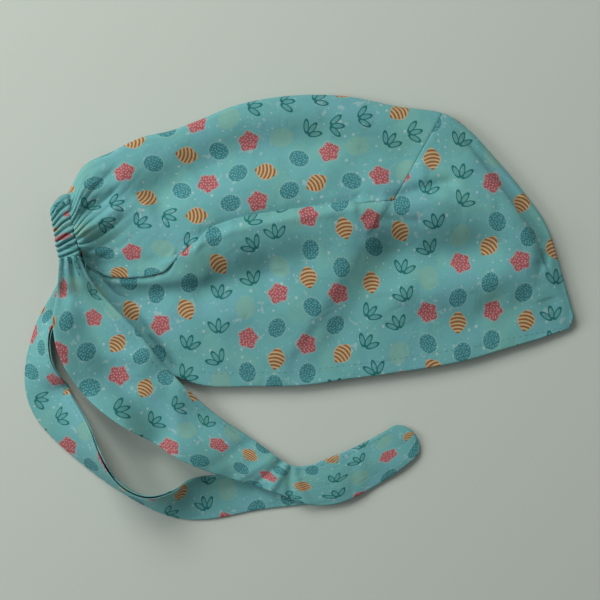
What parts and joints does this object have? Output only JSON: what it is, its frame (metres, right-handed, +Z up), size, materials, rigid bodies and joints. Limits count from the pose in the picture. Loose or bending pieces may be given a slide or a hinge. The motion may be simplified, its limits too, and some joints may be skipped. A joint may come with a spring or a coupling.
{
  "type": "tie-back surgical scrub cap",
  "caption": "Cotton tie-back scrub cap lying on its side, with a crown panel, a wrap-round band, a gathered nape casing and two loose ties.",
  "frame": {"origin": "on the table, under the middle of the box of the whole cap with its ties", "axes": "+X from the nape towards the forehead, +Y from the brim towards the top of the crown, +Z up from the table"},
  "size_m": [0.3034, 0.2354, 0.0248],
  "materials": {
    "printed_cotton": "plain weave cotton, printed, matt",
    "gathered_cotton": "plain weave cotton, printed and gathered, matt",
    "tie_cotton": "plain weave cotton, printed, folded double, matt"
  },
  "bodies": {
    "root": {"crown": "printed_cotton", "band": "printed_cotton", "casing": "gathered_cotton", "tie_near": "tie_cotton", "tie_far": "tie_cotton"}
  },
  "joints": []
}
